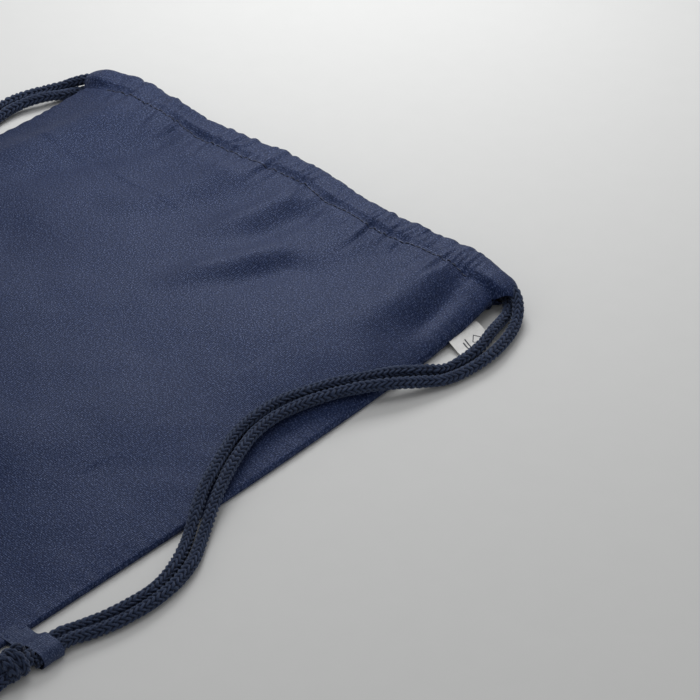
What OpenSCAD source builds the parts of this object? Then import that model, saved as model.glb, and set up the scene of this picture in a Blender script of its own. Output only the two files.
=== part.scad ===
// Cotton drawstring backpack, lying on its back panel.
// X runs across the bag, +Y towards the hem and mouth, +Z up. The origin is in the middle of the back panel's underside.

/* [Bag] */
// Width across the bottom as the bag lies
bag_w = 362; // [330:1:390]
// Height from the bottom fold to the edge of the hem
bag_h = 412; // [380:2:440]
// How much each side draws in between the bottom and the hem
side_draw = 14; // [8:1:18]
// Thickness of one ply of cloth, stiff enough to hold its shape
cloth_t = 1; // [0.8:0.1:1.2]
// Height of the middle of the front panel above the surface that the bag lies on
puff_h = 20; // [16:1:24]
// Depth of the turned hem that the cords run through
hem_d = 24.5; // [23:0.5:28]
// Gap between the two hems at the middle of the mouth
mouth_gap = 5; // [4.6:0.2:8]
// How far each channel's open end stands back from the bag's side
mouth_setback = 10; // [9.5:0.5:14]

/* [Cords] */
// Diameter of the braided cord
cord_d = 6.5; // [6:0.1:6.6]
// Length of each cord end past its knot
tail_l = 27; // [15:1:40]

/* [Corner loops] */
// Width of the tape that each corner loop is folded from
loop_w = 14; // [10:1:18]
// Thickness of the tape
tape_t = 1; // [0.8:0.1:1]

/* [Label] */
// Length of the label along the side seam
label_l = 25; // [18:1:30]
// How far the label stands out of the seam
label_out = 20; // [14:1:24]
// Thickness of the folded label
label_t = 0.6; // [0.4:0.1:0.8]

/* [Hidden] */

NAVY = [0.13, 0.17, 0.28];
NAVY_CORD = [0.16, 0.20, 0.30];
NAVY_THREAD = [0.09, 0.12, 0.22];
WHITE = [0.92, 0.92, 0.90];

UP = [0, 0, 1];
ACROSS_THE_HEM = [0, 1, 0];

// Clearances
ply_gap = 0.1;
cord_gap = 0.3;
floor_gap = 0.2;

// Hem channels: the back one lies on the surface and the front one lies on the back one
cord_r = cord_d / 2;
channel_wall = 0.6;
channel_r = cord_r + 0.45 + channel_wall;
hem_low_y = bag_h / 2 - hem_d;
back_hem_z = channel_r + cord_gap;
front_hem_z = back_hem_z + 2 * channel_r + cord_gap;
hem_half_w = half_w(bag_h / 2) - mouth_setback + 1;
panel_top_y = hem_low_y - floor_gap;
back_panel_top_y = hem_low_y + 1.5;

// Front panel: the shape of its crown
crown_power = 2.4;
edge_z = 3.5;
lift_from = 0.75;
rise_to = 0.3;
fall_from = 0.6;

// Seams
seam_w = 6.5;
seam_inset = 0.5;
seam_end_gap = 1.5;
thread_d = 0.8;

// Cords: the right cord runs nearer the hem's edge, and the left cord runs beside it
right_run_y = bag_h / 2 - 6;
left_run_y = right_run_y - cord_d - cord_gap;
tube_sides = 10;

// Corner loops and knots, given for the right corner
loop_y = -bag_h / 2 + 26;
loop_bore_r = cord_r + 0.35;
loop_z = loop_bore_r + tape_t + floor_gap;
loop_x = 200;
pair_half = 3.4;
tab_from_x = half_w(loop_y) - seam_w;
knot_top_y = loop_y - loop_w / 2 - 2;
knot_l = 20;
knot_r = 8.4;
knot_end_r = 6.6;
knot_z = knot_r + floor_gap;

// Label
label_low_y = 146;
label_z = 1.1;

// Route of the strand that leaves the front channel, from its mouth to the loop
OUTER_ROUTE = [
    [173, 199, 12], [181, 194, 8.5], [187, 186, 5.5], [192, 175, 4.5], [196, 161, 4.5], [198, 146, 4.5],
    [197, 131, 4], [194, 117, 4.5], [188, 104, 7], [181, 91, 9.5], [172, 76, 10.5], [165, 59, 11.5], [160, 41, 12],
    [158, 23, 12.5], [160, 5, 12.5], [165, -10, 12], [171, -25, 10.5], [178, -39, 9], [186, -53, 6.5],
    [195, -68, 4], [204, -83, 4], [210, -101, 4], [212, -119, 4], [211, -137, 4], [207, -154, 4]
];

// Route of the strand that leaves the back channel, beside the other one
INNER_ROUTE = [
    [172, 196, 4.5], [178, 188, 4], [181, 179, 4.5], [185, 167, 6], [189, 153, 5.5], [190, 139, 5], [188, 125, 4.5],
    [183, 113, 7.5], [175, 100, 9.5], [167, 84, 10.5], [160, 67, 12], [155, 50, 13], [151, 32, 13.5], [151, 14, 13.5],
    [154, -3, 13], [160, -18, 12], [166, -31, 11.5], [172, -44, 10.5], [180, -57, 8.5], [188, -70, 5], [195, -82, 4],
    [201, -95, 4], [205, -110, 4], [205, -126, 4], [203, -141, 4], [199, -156, 4]
];

// Half of the bag's width at a height along it
function half_w(y) = bag_w / 2 - side_draw * pow((y + bag_h / 2) / bag_h, 3);

function ease(t) = let (s = min(max(t, 0), 1)) s * s * (3 - 2 * s);

function mix(a, b, t) = a + (b - a) * t;

function unit(v) = v / norm(v);

// A bulge that is 1 in the middle and 0 at both sides, where share is -1 and 1
function crown(share) = 1 - pow(abs(share), crown_power);

// Height of the front hem's middle, which arches over the mouth
function front_channel_z(x) = front_hem_z + mouth_gap * crown(x / half_w(hem_low_y));

function back_channel_z(x) = back_hem_z;

// Height of the front panel's edge, which lifts towards the hem's corner. v is 0 at the bottom and 1 at the hem.
function side_z(v) = mix(edge_z, front_hem_z, pow(max(0, (v - lift_from) / (1 - lift_from)), 3));

// Height of the front panel's middle line
function ridge_z(v) = mix(mix(edge_z, puff_h, ease(v / rise_to)), front_hem_z + mouth_gap,
                          ease((v - fall_from) / (1 - fall_from)));

function panel_y(v) = mix(-bag_h / 2, panel_top_y, v);

function panel_v(y) = (y + bag_h / 2) / (panel_top_y + bag_h / 2);

function panel_point(u, v, offset_z) =
    [u * half_w(panel_y(v)), panel_y(v), mix(side_z(v), ridge_z(v), crown(u)) + offset_z];

function flip(faces) = [for (f = faces) [f[0], f[2], f[1]]];

// Triangles of a grid of points, rows along v and columns along u, seen from above
function grid_faces(columns, rows, first = 0) = [
    for (j = [0:rows - 1], i = [0:columns - 1])
        let (a = first + j * (columns + 1) + i, b = a + columns + 1)
            for (f = [[a, b, a + 1], [a + 1, b, b + 1]]) f
];

// Triangles that join two loops of points with the same count
function band_faces(count, first, second) = [
    for (i = [0:count - 1])
        let (k = (i + 1) % count)
            for (f = [[first + i, second + i, first + k], [first + k, second + i, second + k]]) f
];

// The numbers of a grid's border points, in order around it
function border(columns, rows) = concat(
    [for (i = [0:columns - 1]) i],
    [for (j = [0:rows - 1]) j * (columns + 1) + columns],
    [for (i = [columns:-1:1]) rows * (columns + 1) + i],
    [for (j = [rows:-1:1]) j * (columns + 1)]
);

// A sheet between an upper and a lower grid of points
module sheet(upper, lower, columns, rows) {
    edge = border(columns, rows);
    count = len(upper);
    polyhedron(
        points = concat(upper, lower),
        faces = concat(
            grid_faces(columns, rows),
            flip(grid_faces(columns, rows, count)),
            [for (i = [0:len(edge) - 1])
                let (a = edge[i], b = edge[(i + 1) % len(edge)])
                    for (f = [[a, b, a + count], [b, b + count, a + count]]) f]
        )
    );
}

// A round tube through the points of a route. across is a direction that the route never points in.
module tube(route, d, across, sides = tube_sides) {
    last = len(route) - 1;
    rings = [for (i = [0:last])
        let (
            along = unit(route[min(i + 1, last)] - route[max(i - 1, 0)]),
            side = unit(cross(along, across)),
            top = cross(side, along)
        )
            [for (k = [0:sides - 1])
                let (angle = 360 * k / sides) route[i] + d / 2 * (cos(angle) * side + sin(angle) * top)]
    ];
    polyhedron(
        points = [for (ring = rings, p = ring) p],
        faces = concat(
            [for (i = [0:last - 1], f = band_faces(sides, i * sides, (i + 1) * sides)) f],
            [[for (k = [0:sides - 1]) k]],
            [[for (k = [sides - 1:-1:0]) last * sides + k]]
        )
    );
}

// Points of a flat round-ended outline in Y and Z, with its middle at the hem's
function channel_outline(r, count) = [
    for (k = [0:count - 1])
        let (
            angle = 360 * (k + 0.5) / count,
            end = cos(angle) > 0 ? 1 : -1,
            middle_y = hem_low_y + hem_d / 2
        )
            [middle_y + end * (hem_d / 2 - channel_r) + r * cos(angle), r * sin(angle)]
];

// A turned hem: a flat tube across the bag, open at both ends
module channel(z_at) {
    count = 16;
    steps = 16;
    outer = channel_outline(channel_r, count);
    inner = channel_outline(channel_r - channel_wall, count);
    stations = [for (i = [0:steps]) mix(-hem_half_w, hem_half_w, i / steps)];
    ring = 2 * count;
    polyhedron(
        points = [for (x = stations, p = concat(outer, inner)) [x, p[0], z_at(x) + p[1]]],
        faces = concat(
            [for (i = [0:steps - 1], f = flip(band_faces(count, i * ring, (i + 1) * ring))) f],
            [for (i = [0:steps - 1], f = band_faces(count, i * ring + count, (i + 1) * ring + count)) f],
            band_faces(count, 0, count),
            flip(band_faces(count, steps * ring, steps * ring + count))
        )
    );
}

module front_panel() {
    columns = 24;
    rows = 20;
    grid = [for (j = [0:rows], i = [0:columns]) [2 * i / columns - 1, j / rows]];
    color(NAVY)
        sheet(
            [for (g = grid) panel_point(g[0], g[1], cloth_t / 2)],
            [for (g = grid) panel_point(g[0], g[1], -cloth_t / 2)],
            columns,
            rows
        );
}

// Outline of the back panel, which lies flat
function back_outline() =
    let (steps = 12, ys = [for (i = [0:steps]) mix(-bag_h / 2, back_panel_top_y, i / steps)])
        concat([for (y = ys) [half_w(y), y]], [for (i = [steps:-1:0]) [-half_w(ys[i]), ys[i]]]);

module back_panel() {
    color(NAVY)
        linear_extrude(cloth_t)
            polygon(back_outline());
}

module front_hem() {
    color(NAVY) channel(function(x) front_channel_z(x));
}

module back_hem() {
    color(NAVY) channel(function(x) back_channel_z(x));
}

// A row of thread across the bag, beside the hem
module hem_thread(z_at) {
    steps = 12;
    color(NAVY_THREAD)
        tube(
            [for (i = [0:steps]) let (x = mix(-hem_half_w, hem_half_w, i / steps)) [x, panel_top_y - 1.5, z_at(x)]],
            thread_d, UP, 6
        );
}

module front_hem_stitching() {
    hem_thread(function(x) front_channel_z(x) + cloth_t / 2 + thread_d / 2 + ply_gap);
}

module back_hem_stitching() {
    hem_thread(function(x) cloth_t + thread_d / 2 + ply_gap);
}

// The right side's seam allowance: both panels' edges, turned to the inside and standing between them
module side_seam() {
    steps = 20;
    low_y = -bag_h / 2 + seam_w + seam_end_gap;
    top_y = panel_top_y - seam_end_gap;
    rows = [for (j = [0:steps]) mix(low_y, top_y, j / steps)];
    columns = [for (y = rows, inset = [seam_w + seam_inset, seam_inset]) [half_w(y) - inset, y]];
    color(NAVY)
        sheet(
            [for (c = columns) [c[0], c[1], side_z(panel_v(c[1])) - cloth_t / 2 - ply_gap]],
            [for (c = columns) [c[0], c[1], cloth_t + ply_gap]],
            1,
            steps
        );
}

// The overlocking thread along the right side's seam allowance
module side_thread() {
    steps = 14;
    ys = [for (j = [0:steps]) mix(-bag_h / 2 + 2 * seam_w, panel_top_y - 2 * seam_end_gap, j / steps)];
    color(NAVY_THREAD)
        tube([for (y = ys) [half_w(y) - seam_w - seam_inset - thread_d, y, cloth_t + thread_d]], thread_d, UP, 6);
}

module right_side_seam() side_seam();
module left_side_seam() mirror([1, 0, 0]) side_seam();
module right_seam_stitching() side_thread();
module left_seam_stitching() mirror([1, 0, 0]) side_thread();

module bottom_seam() {
    l = bag_w - 2 * seam_inset - 1;
    color(NAVY)
        translate([-l / 2, -bag_h / 2 + seam_inset, cloth_t + ply_gap])
            cube([l, seam_w, edge_z - 1.5 * cloth_t - 2 * ply_gap]);
}

module bottom_seam_stitching() {
    half_l = bag_w / 2 - 2 * seam_w;
    y = -bag_h / 2 + seam_inset + seam_w + thread_d;
    color(NAVY_THREAD)
        translate([-half_l, y, cloth_t + thread_d])
            rotate([0, 90, 0])
                cylinder(h = 2 * half_l, d = thread_d, $fn = 16);
}

// Round-ended outline around the two strands, in X and Z
module pair_outline(r) {
    for (side = [-1, 1])
        translate([loop_x + side * pair_half, loop_z])
            circle(r, $fn = 32);
    translate([loop_x - pair_half, loop_z - r])
        square([2 * pair_half, 2 * r]);
}

// A loop of tape: both ends are sewn into the side seam, and the two strands pass through it along Y
module corner_loop() {
    color(NAVY)
        translate([0, loop_y + loop_w / 2, 0])
            rotate([90, 0, 0])
                linear_extrude(loop_w)
                    difference() {
                        union() {
                            pair_outline(loop_bore_r + tape_t);
                            translate([tab_from_x, cloth_t + 0.3])
                                square([loop_x - pair_half - 3 - tab_from_x, 1.4]);
                        }
                        pair_outline(loop_bore_r);
                    }
}

module right_corner_loop() corner_loop();
module left_corner_loop() mirror([1, 0, 0]) corner_loop();

// A folded label that leaves the seam and bends down to the surface
module label() {
    seam_x = half_w(label_low_y + label_l / 2);
    line = [[seam_x - 4, 3.6], [seam_x + 1, 3.4], [seam_x + 9, label_z + 0.3], [seam_x + label_out, label_z - 0.4]];
    color(WHITE)
        translate([0, label_low_y + label_l, 0])
            rotate([90, 0, 0])
                linear_extrude(label_l)
                    polygon(concat(line, [for (i = [len(line) - 1:-1:0]) line[i] + [0, label_t]]));
}

// The part of a cord inside the hem: along the front channel, around the far corner and back along the back channel
module cord_in_hem(run_y) {
    steps = 8;
    turn_steps = 6;
    turn_r = (front_channel_z(hem_half_w) - back_hem_z) / 2;
    turn_z = back_hem_z + turn_r;
    xs = [for (i = [0:steps]) mix(hem_half_w, -hem_half_w, i / steps)];
    route = concat(
        [for (x = xs) [x, run_y, front_channel_z(x)]],
        [for (k = [1:turn_steps - 1])
            let (angle = 180 * k / turn_steps)
                [-hem_half_w - turn_r * sin(angle), run_y, turn_z + turn_r * cos(angle)]],
        [for (i = [steps:-2:0]) [xs[i], run_y, back_hem_z]]
    );
    color(NAVY_CORD) tube(route, cord_d, ACROSS_THE_HEM);
}

// A strand outside the bag: out of a channel's mouth, along the route and through the loop to the knot
module strand(run_y, mouth_z, route, pair_x) {
    color(NAVY_CORD)
        tube(
            concat(
                [[hem_half_w, run_y, mouth_z], [hem_half_w + 6, run_y, mouth_z]],
                route,
                [[pair_x, loop_y + 14, loop_z], [pair_x, loop_y, loop_z], [pair_x, knot_top_y, loop_z]]
            ),
            cord_d, UP
        );
}

module outer_strand(run_y) {
    strand(run_y, front_channel_z(hem_half_w), OUTER_ROUTE, loop_x + pair_half);
}

module inner_strand(run_y) {
    strand(run_y, back_hem_z, INNER_ROUTE, loop_x - pair_half);
}

// The overhand knot in the two strands, as the barrel that it fills
module knot() {
    color(NAVY_CORD)
        translate([loop_x, knot_top_y - knot_l, knot_z])
            rotate([-90, 0, 0])
                rotate_extrude($fn = 40)
                    polygon([
                        [0, 0], [knot_end_r, 0], [knot_r - 0.4, knot_l * 0.2], [knot_r, knot_l * 0.4],
                        [knot_r, knot_l * 0.6], [knot_r - 0.4, knot_l * 0.8], [knot_end_r, knot_l], [0, knot_l]
                    ]);
}

// The two cord ends past the knot
module tails() {
    end_y = knot_top_y - knot_l;
    for (side = [-1, 1])
        color(NAVY_CORD)
            tube(
                [
                    [loop_x + side * pair_half, end_y, loop_z],
                    [loop_x + side * pair_half, end_y - 0.3 * tail_l, loop_z],
                    [loop_x + side * (pair_half + 2), end_y - 0.65 * tail_l, 4],
                    [loop_x + side * (pair_half + 5), end_y - tail_l, 3.5]
                ],
                cord_d, UP
            );
}

module right_cord_in_hem() cord_in_hem(right_run_y);
module right_outer_strand() outer_strand(right_run_y);
module right_inner_strand() inner_strand(right_run_y);
module right_knot() knot();
module right_tails() tails();

module left_cord_in_hem() mirror([1, 0, 0]) cord_in_hem(left_run_y);
module left_outer_strand() mirror([1, 0, 0]) outer_strand(left_run_y);
module left_inner_strand() mirror([1, 0, 0]) inner_strand(left_run_y);
module left_knot() mirror([1, 0, 0]) knot();
module left_tails() mirror([1, 0, 0]) tails();

front_panel();
back_panel();
front_hem();
back_hem();
front_hem_stitching();
back_hem_stitching();
left_side_seam();
right_side_seam();
bottom_seam();
left_seam_stitching();
right_seam_stitching();
bottom_seam_stitching();
left_corner_loop();
right_corner_loop();
label();
right_cord_in_hem();
right_outer_strand();
right_inner_strand();
right_knot();
right_tails();
left_cord_in_hem();
left_outer_strand();
left_inner_strand();
left_knot();
left_tails();
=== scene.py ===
"""Cotton drawstring backpack that lies on its back panel.

Lengths are in metres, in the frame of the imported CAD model: X runs across the bag, +Y towards the hem and
the mouth, and +Z up. The origin is in the middle of the back panel's underside.
"""

import math

import bpy
import numpy as np
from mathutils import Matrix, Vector


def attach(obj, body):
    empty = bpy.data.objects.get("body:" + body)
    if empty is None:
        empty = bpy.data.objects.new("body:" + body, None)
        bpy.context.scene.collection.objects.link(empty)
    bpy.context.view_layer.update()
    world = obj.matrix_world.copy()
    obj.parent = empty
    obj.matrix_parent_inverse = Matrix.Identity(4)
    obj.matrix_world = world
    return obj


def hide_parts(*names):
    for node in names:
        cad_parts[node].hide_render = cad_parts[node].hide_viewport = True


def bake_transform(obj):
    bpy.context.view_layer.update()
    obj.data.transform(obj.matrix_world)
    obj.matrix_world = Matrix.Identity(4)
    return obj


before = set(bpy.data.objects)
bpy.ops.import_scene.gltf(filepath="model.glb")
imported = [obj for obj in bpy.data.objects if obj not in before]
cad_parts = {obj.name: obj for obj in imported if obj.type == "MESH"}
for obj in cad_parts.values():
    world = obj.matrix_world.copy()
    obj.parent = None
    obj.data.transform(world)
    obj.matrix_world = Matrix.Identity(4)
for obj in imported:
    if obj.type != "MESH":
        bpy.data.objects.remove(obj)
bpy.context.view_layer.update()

MM = 0.001

# The bag, as in the CAD model
BAG_W = 0.362
BAG_H = 0.412
SIDE_DRAW = 0.014
PUFF_H = 0.020
HEM_LOW_Y = 0.1815
BACK_HEM_Z = 0.0046
MOUTH_X = 0.158
EDGE_Z = 0.0035
CROWN_POWER = 2.4

# The bag, where it differs from the CAD model: thinner cloth, and a mouth and corners shaped as in the photo
CLOTH_T = 0.0008
FRONT_HEM_Z = 0.0140
MOUTH_GAP = 0.0030
SIDE_TOP_Z = 0.0100
HEM_CROWN_POWER = 10.0

# The lowest that the outer sides of the panels and hems reach
FLOOR_GAP = 0.0002

# Cords, as in the CAD model
CORD_D = 0.0065
CORD_R = CORD_D / 2
RIGHT_RUN_Y = 0.200
LEFT_RUN_Y = 0.1932
LOOP_Y = -0.180
LOOP_X = 0.200
LOOP_W = 0.014
PAIR_HALF = 0.0034
LOOP_Z = 0.0048
KNOT_TOP_Y = -0.189
KNOT_L = 0.020
KNOT_Z = 0.0086
TAIL_L = 0.027

# Routes of the two strands from the mouth to the corner loop, in millimetres
OUTER_ROUTE = [
    (173, 199, 12), (181, 194, 8.5), (187, 186, 5.5), (192, 175, 4.5), (196, 161, 4.5),
    (198, 146, 4.5), (197, 131, 4), (194, 117, 4.5), (188, 104, 7), (181, 91, 9.5),
    (172, 76, 10.5), (165, 59, 11.5), (160, 41, 12), (158, 23, 12.5), (160, 5, 12.5),
    (165, -10, 12), (171, -25, 10.5), (178, -39, 9), (186, -53, 6.5), (195, -68, 4),
    (204, -83, 4), (210, -101, 4), (212, -119, 4), (211, -137, 4), (207, -154, 4),
]
INNER_ROUTE = [
    (172, 196, 4.5), (178, 188, 4), (181, 179, 4.5), (185, 167, 6), (189, 153, 5.5),
    (190, 139, 5), (188, 125, 4.5), (183, 113, 7.5), (175, 100, 9.5), (167, 84, 10.5),
    (160, 67, 12), (155, 50, 13), (151, 32, 13.5), (151, 14, 13.5), (154, -3, 13),
    (160, -18, 12), (166, -31, 11.5), (172, -44, 10.5), (180, -57, 8.5), (188, -70, 5),
    (195, -82, 4), (201, -95, 4), (205, -110, 4), (205, -126, 4), (203, -141, 4),
    (199, -156, 4),
]


# ---- small maths


def ease(t):
    """0 up to t = 0, 1 from t = 1, and smooth between them."""
    s = np.clip(t, 0.0, 1.0)
    return s * s * (3.0 - 2.0 * s)


def mix(a, b, t):
    """a at t = 0 and b at t = 1."""
    return a + (b - a) * t


def bump(t):
    """A soft hump: 1 at 0 and nearly 0 past 2."""
    return np.exp(-np.square(t))


def noise(x, y, scale, seed):
    """Smooth random heights from -1 to 1, with lumps about as wide as scale."""
    cells = 63
    offset = 1000.5
    lattice = np.random.default_rng(seed).uniform(-1.0, 1.0, (cells + 1, cells + 1))
    px = np.asarray(x) / scale + offset
    py = np.asarray(y) / scale + offset
    i, j = np.floor(px).astype(int), np.floor(py).astype(int)
    s, t = ease(px - i), ease(py - j)
    i, j = i % cells, j % cells
    low = mix(lattice[i, j], lattice[i + 1, j], s)
    high = mix(lattice[i, j + 1], lattice[i + 1, j + 1], s)
    return mix(low, high, t)


def stacked(*parts):
    """Arrays spread to one shape and put together, such as x, y and z into points."""
    return np.stack(np.broadcast_arrays(*parts), axis=-1)


# ---- meshes


def grid_faces(rows, columns, first=0, closed=False):
    """Quads of a grid of points. closed joins the last column to the first."""
    j, i = np.mgrid[0 : rows - 1, 0 : columns - (0 if closed else 1)]
    a = first + j * columns + i
    b = first + j * columns + (i + 1) % columns
    return np.stack([a, b, b + columns, a + columns], axis=-1).reshape(-1, 4)


def border(rows, columns):
    """The numbers of a grid's border points, in order around it."""
    low = np.arange(columns)
    right = np.arange(1, rows) * columns + columns - 1
    high = (rows - 1) * columns + np.arange(columns - 2, -1, -1)
    left = np.arange(rows - 2, 0, -1) * columns
    return np.concatenate([low, right, high, left])


def make_mesh(name, points, faces, material, uvs=None, values=None, normals=None):
    """A smooth mesh object. uvs are places on the cloth in metres, and values are other numbers by name."""
    mesh = bpy.data.meshes.new(name)
    mesh.from_pydata(np.asarray(points).reshape(-1, 3).tolist(), [], [list(f) for f in faces])
    corners = np.zeros(len(mesh.loops), np.int32)
    mesh.loops.foreach_get("vertex_index", corners)
    if uvs is not None:
        layer = mesh.uv_layers.new(name="cloth")
        layer.data.foreach_set("uv", np.asarray(uvs, np.float32).reshape(-1, 2)[corners].ravel())
    for key, value in (values or {}).items():
        attribute = mesh.attributes.new(key, "FLOAT", "POINT")
        attribute.data.foreach_set("value", np.asarray(value, np.float32).ravel())
    mesh.polygons.foreach_set("use_smooth", np.ones(len(mesh.polygons), bool))
    mesh.materials.append(material)
    if normals is not None:
        mesh.normals_split_custom_set_from_vertices(np.asarray(normals).reshape(-1, 3).tolist())
    thing = bpy.data.objects.new(name, mesh)
    bpy.context.scene.collection.objects.link(thing)
    return thing


def grid_normals(points):
    """Normals of a grid of points: its direction along a row, crossed with the one along a column."""
    across = np.gradient(points, axis=1)
    along = np.gradient(points, axis=0)
    normal = np.cross(across, along)
    length = np.linalg.norm(normal, axis=-1, keepdims=True)
    return normal / np.maximum(length, 1e-12)


def facing_up(points):
    """A grid of points and its normals, with its rows turned round if it faced down."""
    normals = grid_normals(points)
    if normals[..., 2].mean() < 0:
        return points[:, ::-1], -normals[:, ::-1]
    return points, normals


def shell(name, points, normals, thick, material, uvs, values=None):
    """A ply of cloth: the grid of points as its outer side, the same grid a little inside it, and a rim."""
    rows, columns = points.shape[:2]
    count = rows * columns
    inner = points - normals * thick
    edge = border(rows, columns)
    after = np.roll(edge, -1)
    faces = np.concatenate([
        grid_faces(rows, columns),
        grid_faces(rows, columns, count)[:, ::-1],
        np.stack([edge, edge + count, after + count, after], axis=-1),
    ])
    doubled = {key: np.concatenate([np.ravel(v), np.ravel(v)]) for key, v in (values or {}).items()}
    return make_mesh(
        name, np.concatenate([points.reshape(-1, 3), inner.reshape(-1, 3)]), faces, material,
        np.concatenate([uvs.reshape(-1, 2)] * 2), doubled,
        np.concatenate([normals.reshape(-1, 3), -normals.reshape(-1, 3)]),
    )


def smooth_path(route, step):
    """Points about step apart on a smooth curve through the route's points."""
    parts_a_span = 40
    p = np.asarray(route, float)
    p = np.concatenate([[2 * p[0] - p[1]], p, [2 * p[-1] - p[-2]]])
    dense = []
    for a, b, c, d in zip(p[:-3], p[1:-2], p[2:-1], p[3:]):
        ab, bc, cd = (math.sqrt(np.linalg.norm(q - r)) for q, r in ((b, a), (c, b), (d, c)))
        slope_b = (b - a) / ab - (c - a) / (ab + bc) + (c - b) / bc
        slope_c = (c - b) / bc - (d - b) / (bc + cd) + (d - c) / cd
        t = np.linspace(0.0, 1.0, parts_a_span, endpoint=False)[:, None]
        dense.append(
            (2 * t**3 - 3 * t**2 + 1) * b + (t**3 - 2 * t**2 + t) * slope_b * bc
            + (3 * t**2 - 2 * t**3) * c + (t**3 - t**2) * slope_c * bc
        )
    dense = np.concatenate([*dense, p[-2:-1]])
    along = np.concatenate([[0.0], np.cumsum(np.linalg.norm(np.diff(dense, axis=0), axis=1))])
    at = np.linspace(0.0, along[-1], max(3, round(along[-1] / step) + 1))
    return np.stack([np.interp(at, along, dense[:, k]) for k in range(3)], axis=1)


def frames(path):
    """Two directions across a path at each point, turning with it and not about it."""
    along = np.gradient(path, axis=0)
    along /= np.linalg.norm(along, axis=1, keepdims=True)
    starts_upright = abs(along[0][2]) >= 0.9
    start = np.array([0.0, 1.0, 0.0]) if starts_upright else np.array([0.0, 0.0, 1.0])
    up = start - along[0] * (start @ along[0])
    ups = []
    for direction in along:
        up = up - direction * (up @ direction)
        up = up / np.linalg.norm(up)
        ups.append(up)
    ups = np.array(ups)
    return np.cross(along, ups), ups


def swept(path, sides, radius):
    """Rings of points around a path. radius is one number, or one for each ring and side."""
    across, up = frames(path)
    angle = 2 * np.pi * np.arange(sides) / sides
    around = across[:, None] * np.cos(angle)[None, :, None] + up[:, None] * np.sin(angle)[None, :, None]
    spread = np.broadcast_to(np.asarray(radius, float), (len(path), sides))
    return path[:, None] + around * spread[..., None]


def tube_faces(rings, sides, first=0):
    """The side and the two ends of a swept tube."""
    last = first + (rings - 1) * sides
    start_cap = list(range(first + sides - 1, first - 1, -1))
    end_cap = list(range(last, last + sides))
    return [list(f) for f in grid_faces(rings, sides, first, closed=True)] + [start_cap, end_cap]


def threads(name, paths, radius, sides, material):
    """Several thin round threads as one piece."""
    points, faces, uvs = [], [], []
    count = 0
    for path in paths:
        rings = swept(path, sides, radius)
        along = np.arange(len(path))[:, None] * np.linalg.norm(path[1] - path[0])
        turn = np.arange(sides) * 2 * np.pi * radius / sides
        points.append(rings.reshape(-1, 3))
        faces += tube_faces(len(path), sides, count)
        uvs.append(stacked(along, turn).reshape(-1, 2))
        count += len(path) * sides
    return make_mesh(name, np.concatenate(points), faces, material, np.concatenate(uvs))


def stands_for(node):
    """The piece replaces a CAD node, whose part it hides."""
    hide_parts(node)


# ---- materials


class Graph:
    """A short way to write a material's nodes."""

    def __init__(self, name):
        self.material = bpy.data.materials.new(name)
        self.material.use_nodes = True
        self.tree = self.material.node_tree
        self.shader = self.tree.nodes["Principled BSDF"]

    def put(self, socket, value):
        """Links a socket's value to the socket, or sets a plain value."""
        if isinstance(value, bpy.types.NodeSocket):
            self.tree.links.new(value, socket)
        else:
            socket.default_value = value

    def set(self, **inputs):
        """Sets inputs of the main shader, by name with _ for a space."""
        for key, value in inputs.items():
            self.put(self.shader.inputs[key.replace("_", " ")], value)

    def node(self, kind, inputs=(), **settings):
        """A new shader node, with its inputs by name and its own settings."""
        made = self.tree.nodes.new("ShaderNode" + kind)
        for key, value in settings.items():
            setattr(made, key, value)
        for key, value in dict(inputs).items():
            self.put(made.inputs[key], value)
        return made

    def math(self, operation, *values):
        """A sum, product or other operation on values."""
        made = self.node("Math", operation=operation)
        for socket, value in zip(made.inputs, values):
            self.put(socket, value)
        return made.outputs[0]

    def vary(self, vector, scale, detail=2.0, stretch=(1.0, 1.0, 1.0), roughness=0.5):
        """Noise from 0 to 1. scale is in lumps a metre."""
        placed = self.node("Mapping", {"Vector": vector, "Scale": stretch}).outputs[0]
        inputs = {"Vector": placed, "Scale": scale, "Detail": detail, "Roughness": roughness}
        return self.node("TexNoise", inputs).outputs["Fac"]

    def stripes(self, vector, scale, distortion, direction):
        """Soft stripes from 0 to 1. scale is how many of them fit in about 0.3 m."""
        inputs = {"Vector": vector, "Scale": scale, "Distortion": distortion}
        return self.node("TexWave", inputs, bands_direction=direction).outputs["Fac"]

    def ramp(self, value, low, high, to_low=0.0, to_high=1.0):
        """value stretched from low..high to to_low..to_high, held at both ends."""
        inputs = {"Value": value, "From Min": low, "From Max": high, "To Min": to_low, "To Max": to_high}
        return self.node("MapRange", inputs, interpolation_type="SMOOTHSTEP").outputs[0]

    def blend(self, share, a, b):
        """Colour a where share is 0, and colour b where it is 1."""
        made = self.node("Mix", data_type="RGBA")
        colour_sockets = (made.inputs[0], made.inputs[6], made.inputs[7])
        for socket, value in zip(colour_sockets, (share, a, b)):
            self.put(socket, value)
        return made.outputs[2]

    def cloth_place(self):
        """Where a point is on its cloth, in metres."""
        return self.node("UVMap", uv_map="cloth").outputs[0]

    def value_of(self, name):
        """A number that the mesh holds for each point."""
        return self.node("Attribute", attribute_name=name).outputs["Fac"]

    def raise_by(self, height, distance, strength=1.0):
        """Bumps the surface by height times distance, in metres."""
        inputs = {"Height": height, "Distance": distance, "Strength": strength}
        self.set(Normal=self.node("Bump", inputs).outputs[0])


YARNS_A_METRE = 1300.0
LINT_A_METRE = 1150.0
WEAVE_SCALE = 300.0
FIBRES_A_METRE = 2600.0


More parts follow.
